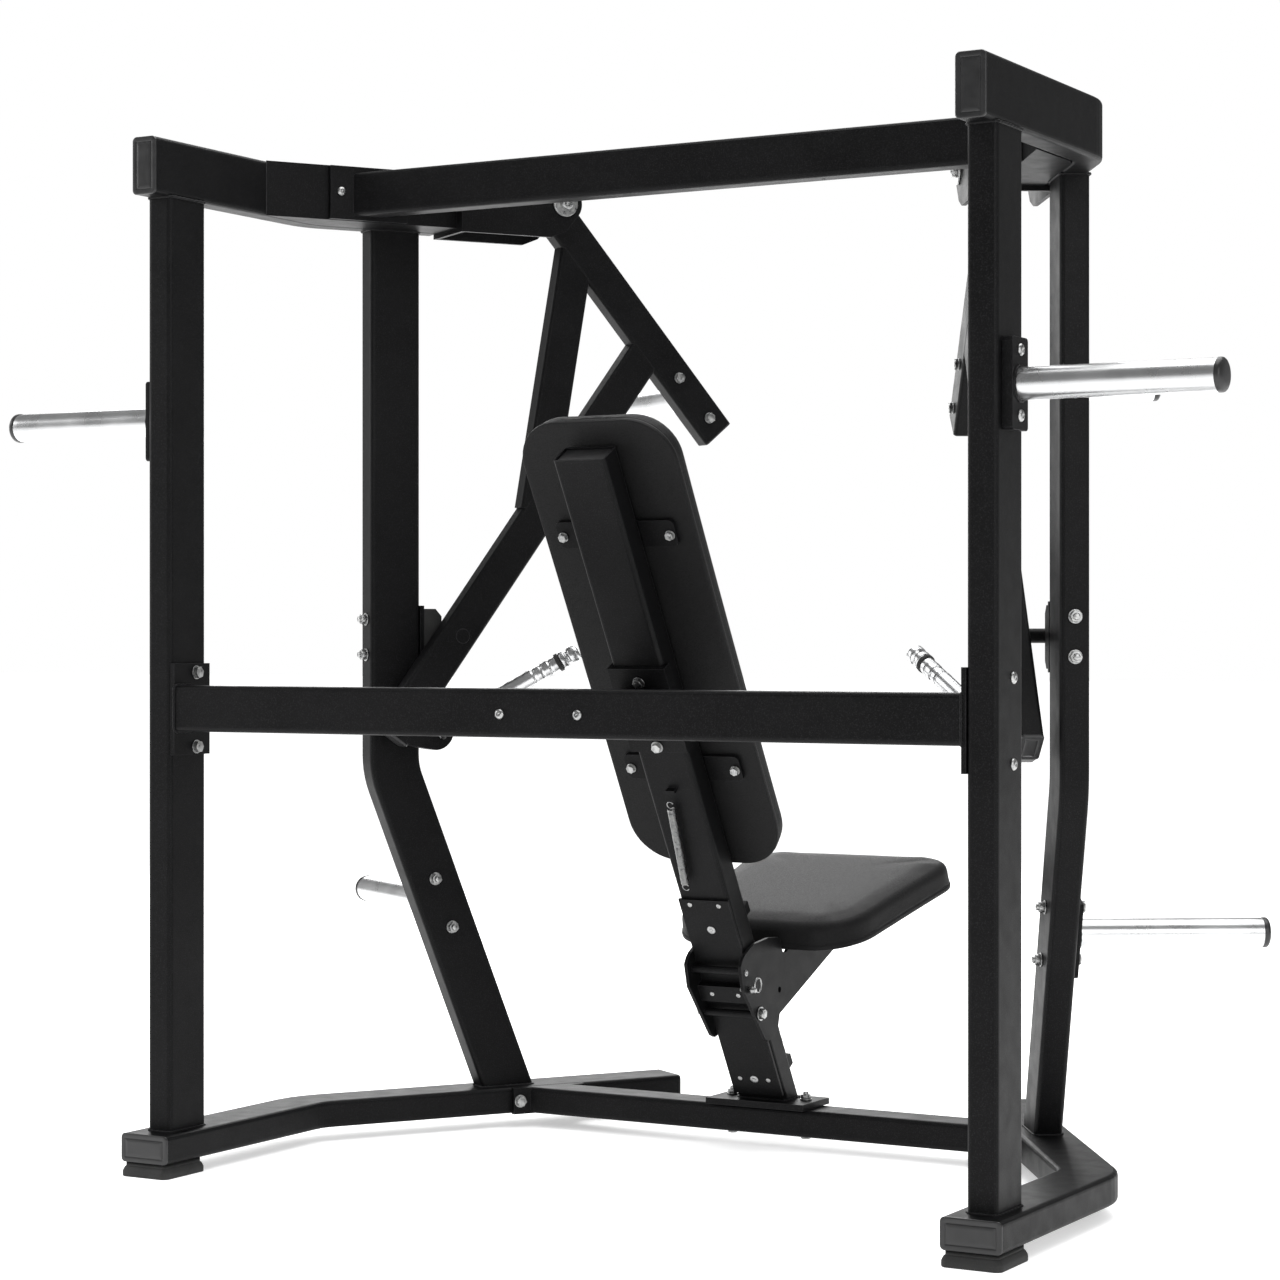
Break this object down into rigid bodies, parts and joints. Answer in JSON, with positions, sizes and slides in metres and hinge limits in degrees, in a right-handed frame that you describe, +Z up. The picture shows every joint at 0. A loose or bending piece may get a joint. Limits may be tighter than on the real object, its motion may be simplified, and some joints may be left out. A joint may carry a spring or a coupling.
{
  "type": "chest press machine",
  "caption": "Seated plate-loaded chest press with a wide black tube frame, leaning backrest, sliding seat and two arms that converge forward.",
  "frame": {"origin": "on the floor, at the middle of the machine's overall box in plan", "axes": "+X to the user's right, +Y the way the seated user faces, +Z up"},
  "size_m": [2.2846, 1.3088, 1.806],
  "materials": {
    "frame_paint": "fine-texture black powder coat",
    "end_plastic": "moulded black plastic",
    "foot_rubber": "matt black rubber",
    "chrome": "bright chrome plate",
    "zinc": "zinc-plated steel",
    "upholstery": "grained black synthetic leather over foam"
  },
  "bodies": {
    "frame": {"base_tube_right": "frame_paint", "base_tube_left": "frame_paint", "base_rear_cap_right": "end_plastic", "base_rear_cap_left": "end_plastic", "base_front_cap_right": "end_plastic", "base_front_cap_left": "end_plastic", "rear_foot_right": "foot_rubber", "rear_foot_left": "foot_rubber", "front_foot_right": "foot_rubber", "front_foot_left": "foot_rubber", "rear_post_right": "frame_paint", "rear_post_left": "frame_paint", "front_post_right": "frame_paint", "front_post_left": "frame_paint", "top_tube_right": "frame_paint", "top_tube_left": "frame_paint", "top_cap_right": "end_plastic", "top_cap_left": "end_plastic", "pivot_beam_right": "frame_paint", "pivot_beam_left": "frame_paint", "pivot_shaft_right": "zinc", "pivot_shaft_left": "zinc", "upper_storage_horn_right": "chrome", "upper_storage_horn_left": "chrome", "upper_horn_cap_right": "end_plastic", "upper_horn_cap_left": "end_plastic", "lower_storage_horn_right": "chrome", "lower_storage_horn_left": "chrome", "lower_horn_cap_right": "end_plastic", "lower_horn_cap_left": "end_plastic", "stop_plate_right": "frame_paint", "stop_plate_left": "frame_paint", "stop_bumper_right": "foot_rubber", "stop_bumper_left": "foot_rubber", "rear_cross_tube": "frame_paint", "top_cross_tube": "frame_paint", "bottom_cross_tube": "frame_paint", "seat_column": "frame_paint", "column_cap": "end_plastic", "column_strut": "frame_paint", "guide_plate": "frame_paint", "height_rack": "frame_paint", "return_spring": "zinc", "upper_back_bracket": "frame_paint", "lower_back_bracket": "frame_paint", "backrest_pad": "upholstery"},
    "arm_right": {"arm_right": "frame_paint", "arm_end_cap_right": "end_plastic", "loading_horn_right": "chrome", "loading_horn_cap_right": "end_plastic", "handle_right": "chrome"},
    "arm_left": {"arm_left": "frame_paint", "arm_end_cap_left": "end_plastic", "loading_horn_left": "chrome", "loading_horn_cap_left": "end_plastic", "handle_left": "chrome"},
    "seat": {"seat_carriage": "frame_paint", "seat_pad": "upholstery"},
    "latch": {"pull_pin": "zinc"}
  },
  "joints": [
    {"name": "right_press", "type": "hinge", "parent": "frame", "child": "arm_right", "pos_m": [0.46349, 0.18575, 1.763], "axis": [0.8387, 0.5446, 0], "range_deg": [0, 38]},
    {"name": "left_press", "type": "hinge", "parent": "frame", "child": "arm_left", "pos_m": [-0.46349, 0.18575, 1.763], "axis": [0.8387, -0.5446, 0], "range_deg": [0, 38]},
    {"name": "seat_height", "type": "slide", "parent": "frame", "child": "seat", "axis": [0, -0.5, 0.866], "range_m": [-0.1, 0.08]},
    {"name": "latch_pull", "type": "slide", "parent": "seat", "child": "latch", "axis": [1, 0, 0], "range_m": [0, 0.012], "stiffness_N_per_m": 800}
  ]
}
